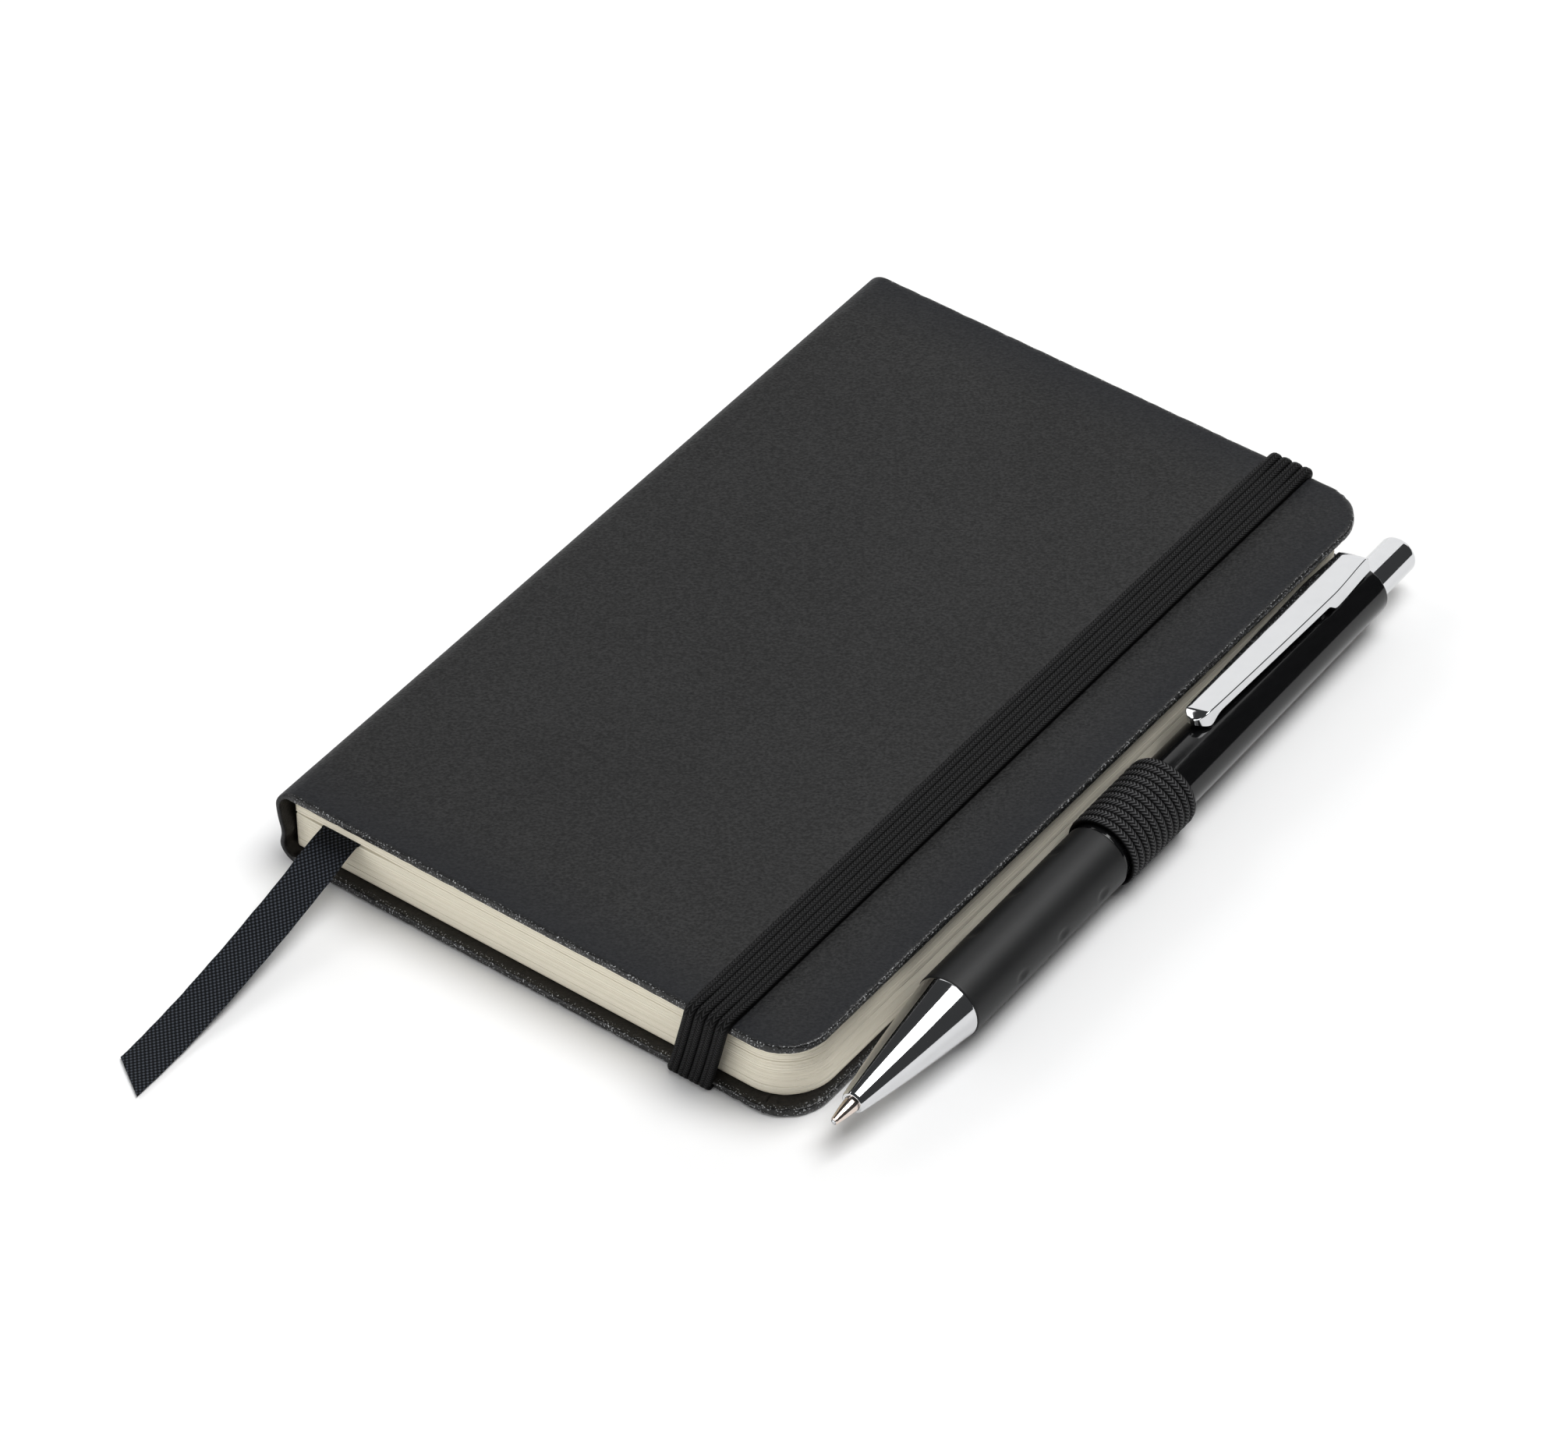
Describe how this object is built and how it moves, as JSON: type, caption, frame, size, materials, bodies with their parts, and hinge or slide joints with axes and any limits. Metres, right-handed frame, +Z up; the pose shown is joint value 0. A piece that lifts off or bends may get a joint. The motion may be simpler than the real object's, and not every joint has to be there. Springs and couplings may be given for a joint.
{
  "type": "pocket notebook",
  "caption": "Hardcover pocket notebook with rounded corners, elastic closure, ribbon marker and a click ballpoint pen held in an elastic loop on the back cover.",
  "frame": {"origin": "centre of the underside of the back cover, on the table", "axes": "+X from the spine to the fore-edge, +Y from tail to head, +Z up out of the front cover"},
  "size_m": [0.1021, 0.1871, 0.0145],
  "materials": {
    "leatherette": "fine grained matt leatherette",
    "board": "grey board",
    "endpaper": "smooth cream paper",
    "page_paper": "cream paper, cut edges",
    "lining": "glued gauze",
    "ribbon": "twill weave with a soft sheen",
    "elastic": "ribbed woven elastic",
    "gloss_black": "polished black plastic",
    "grip_rubber": "matt rubber with shallow dimples",
    "chrome": "mirror chrome plating",
    "nickel": "nickel silver with a warm cast",
    "spring_steel": "drawn wire",
    "cam_plastic": "moulded",
    "refill_plastic": "moulded"
  },
  "bodies": {
    "back_cover": {"back_cover_skin": "leatherette", "back_board": "board", "back_pastedown": "endpaper", "back_flyleaf": "endpaper", "rear_spine_lining": "lining", "page_section_1": "page_paper", "page_section_2": "page_paper", "page_section_3": "page_paper", "page_section_4": "page_paper", "page_section_5": "page_paper", "ribbon_inner": "ribbon", "ribbon_tail": "ribbon", "elastic_ends": "elastic", "pen_loop": "elastic"},
    "spine": {"spine_skin": "leatherette", "spine_card": "board"},
    "front_cover": {"front_cover_skin": "leatherette", "front_board": "board", "front_pastedown": "endpaper"},
    "front_pages": {"front_flyleaf": "endpaper", "front_spine_lining": "lining", "page_section_6": "page_paper", "page_section_7": "page_paper", "page_section_8": "page_paper"},
    "band": {"elastic_band": "elastic"},
    "pen": {"pen_barrel": "gloss_black", "pen_joint_ring": "gloss_black", "pen_grip": "grip_rubber", "pen_nose_cone": "chrome", "pen_cam_sleeve": "cam_plastic", "pen_spring": "spring_steel"},
    "clip": {"pen_clip": "chrome"},
    "plunger": {"pen_plunger": "chrome"},
    "refill": {"refill_tube": "refill_plastic", "refill_tip": "nickel", "refill_ball": "nickel"},
    "cam_rotor": {"pen_cam_rotor": "cam_plastic"}
  },
  "joints": [
    {"name": "cover_hinge", "type": "hinge", "parent": "spine", "child": "front_cover", "pos_m": [-0.0449, 0, 0.0125], "axis": [0, -1, 0], "range_deg": [0, 90]},
    {"name": "spine_hinge", "type": "hinge", "parent": "back_cover", "child": "spine", "pos_m": [-0.0449, 0, 0.001], "axis": [0, -1, 0], "range_deg": [0, 90]},
    {"name": "pages_turn", "type": "hinge", "parent": "back_cover", "child": "front_pages", "pos_m": [-0.0443, 0, 0.00675], "axis": [0, -1, 0], "range_deg": [0, 180]},
    {"name": "band_release", "type": "hinge", "parent": "back_cover", "child": "band", "pos_m": [0.0271, 0, 0.00075], "axis": [0, 1, 0], "range_deg": [0, 180], "deforming": ["elastic_band"]},
    {"name": "pen_slide", "type": "slide", "parent": "back_cover", "child": "pen", "axis": [-0.014, 0.9999, 0], "range_m": [0, 0.15]},
    {"name": "clip_flex", "type": "hinge", "parent": "pen", "child": "clip", "pos_m": [0.04844, 0.06038, 0.0103], "axis": [-0.9781, -0.0137, -0.2079], "range_deg": [0, 4.5], "stiffness_Nm_per_rad": 1},
    {"name": "plunger_press", "type": "slide", "parent": "pen", "child": "plunger", "axis": [-0.014, 0.9999, 0], "range_m": [-0.0015, 0.004], "stiffness_N_per_m": 250, "deforming": ["pen_spring"]},
    {"name": "refill_slide", "type": "slide", "parent": "pen", "child": "refill", "axis": [-0.014, 0.9999, 0], "range_m": [-0.0015, 0.004]},
    {"name": "cam_turn", "type": "hinge", "parent": "refill", "child": "cam_rotor", "pos_m": [0.04964, 0.04, 0.006], "axis": [-0.014, 0.9999, 0], "range_deg": [-13, 33]}
  ],
  "couplings": [
    {"joint": "spine_hinge", "follows": "cover_hinge", "ratio": 1},
    {"joint": "pages_turn", "follows": "cover_hinge", "ratio": 2},
    {"joint": "band_release", "follows": "cover_hinge", "ratio": 2},
    {"joint": "refill_slide", "follows": "plunger_press", "ratio": 1},
    {"joint": "cam_turn", "follows": "plunger_press", "rad_per_m": 140}
  ]
}
